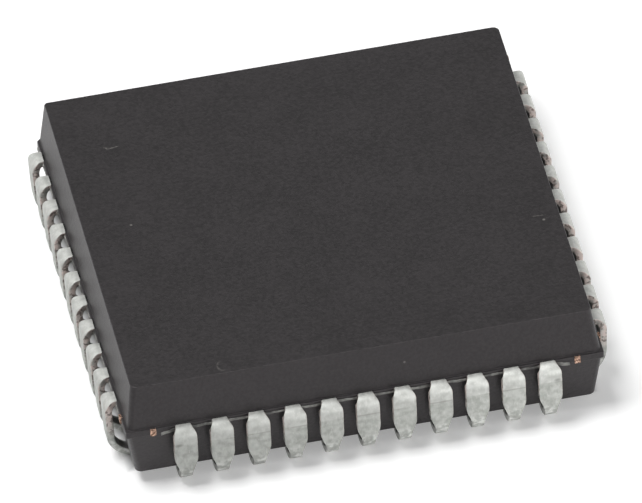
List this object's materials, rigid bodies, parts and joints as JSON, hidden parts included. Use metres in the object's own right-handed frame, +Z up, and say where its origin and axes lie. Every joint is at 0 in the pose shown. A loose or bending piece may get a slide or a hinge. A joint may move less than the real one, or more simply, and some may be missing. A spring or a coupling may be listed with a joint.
{
  "type": "plcc chip",
  "caption": "Square plastic leaded chip carrier with a drafted dark body, a bevelled pin-1 side and J leads along every side, for soldering to a board or a socket.",
  "frame": {"origin": "on the seating plane under the middle of the body, where the feet touch the board", "axes": "+Z up from the board, +Y towards side 1, whose middle lead is pin 1"},
  "size_m": [0.0176, 0.0176, 0.0044],
  "materials": {
    "mould_compound": "fine matt",
    "tin_plate": "satin",
    "bare_copper": "dull",
    "die_adhesive": "matt",
    "silicon": "polished",
    "gold_wire": "bright"
  },
  "bodies": {
    "root": {"moulded_body": "mould_compound", "die_paddle": "bare_copper", "die_attach": "die_adhesive", "silicon_die": "silicon", "bond_wires_rear": "gold_wire", "bond_wires_left": "gold_wire", "bond_wires_front": "gold_wire", "bond_wires_right": "gold_wire", "lead_01": "tin_plate", "lead_02": "tin_plate", "lead_03": "tin_plate", "lead_04": "tin_plate", "lead_05": "tin_plate", "lead_06": "tin_plate", "lead_07": "tin_plate", "lead_08": "tin_plate", "lead_09": "tin_plate", "lead_10": "tin_plate", "lead_11": "tin_plate", "lead_12": "tin_plate", "lead_13": "tin_plate", "lead_14": "tin_plate", "lead_15": "tin_plate", "lead_16": "tin_plate", "lead_17": "tin_plate", "lead_18": "tin_plate", "lead_19": "tin_plate", "lead_20": "tin_plate", "lead_21": "tin_plate", "lead_22": "tin_plate", "lead_23": "tin_plate", "lead_24": "tin_plate", "lead_25": "tin_plate", "lead_26": "tin_plate", "lead_27": "tin_plate", "lead_28": "tin_plate", "lead_29": "tin_plate", "lead_30": "tin_plate", "lead_31": "tin_plate", "lead_32": "tin_plate", "lead_33": "tin_plate", "lead_34": "tin_plate", "lead_35": "tin_plate", "lead_36": "tin_plate", "lead_37": "tin_plate", "lead_38": "tin_plate", "lead_39": "tin_plate", "lead_40": "tin_plate", "lead_41": "tin_plate", "lead_42": "tin_plate", "lead_43": "tin_plate", "lead_44": "tin_plate"}
  },
  "joints": []
}
